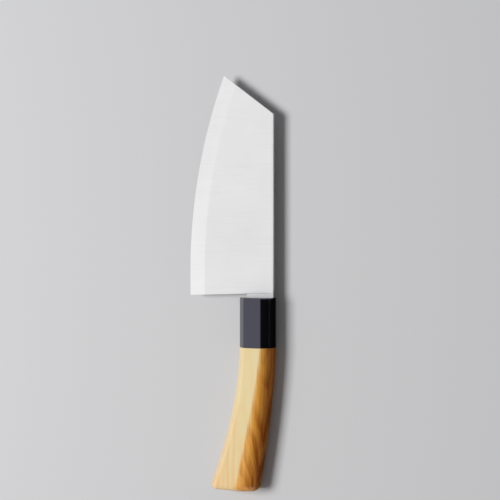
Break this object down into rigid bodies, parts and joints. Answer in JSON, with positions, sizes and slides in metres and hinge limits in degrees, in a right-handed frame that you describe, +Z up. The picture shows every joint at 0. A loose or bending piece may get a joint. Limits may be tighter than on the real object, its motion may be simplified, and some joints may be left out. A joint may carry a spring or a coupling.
{
  "type": "kitchen cleaver",
  "caption": "Wide kitchen cleaver with a clipped point and a ground bevel, a black ferrule and a curved, faceted wooden handle on a hidden tang.",
  "frame": {"origin": "bottom centre of the knife's box, on the table that it lies on", "axes": "+X from the cutting edge to the spine, +Y from the butt to the tip, +Z up from the table"},
  "size_m": [0.068, 0.302, 0.02],
  "materials": {
    "steel": "satin, with fine grinding lines",
    "black_plastic": "gloss",
    "wood": "lacquered, grain along the handle",
    "epoxy": "cured, dull"
  },
  "bodies": {
    "root": {"blade": "steel", "ferrule": "black_plastic", "handle": "wood", "ferrule_adhesive": "epoxy", "tang_adhesive": "epoxy"}
  },
  "joints": []
}
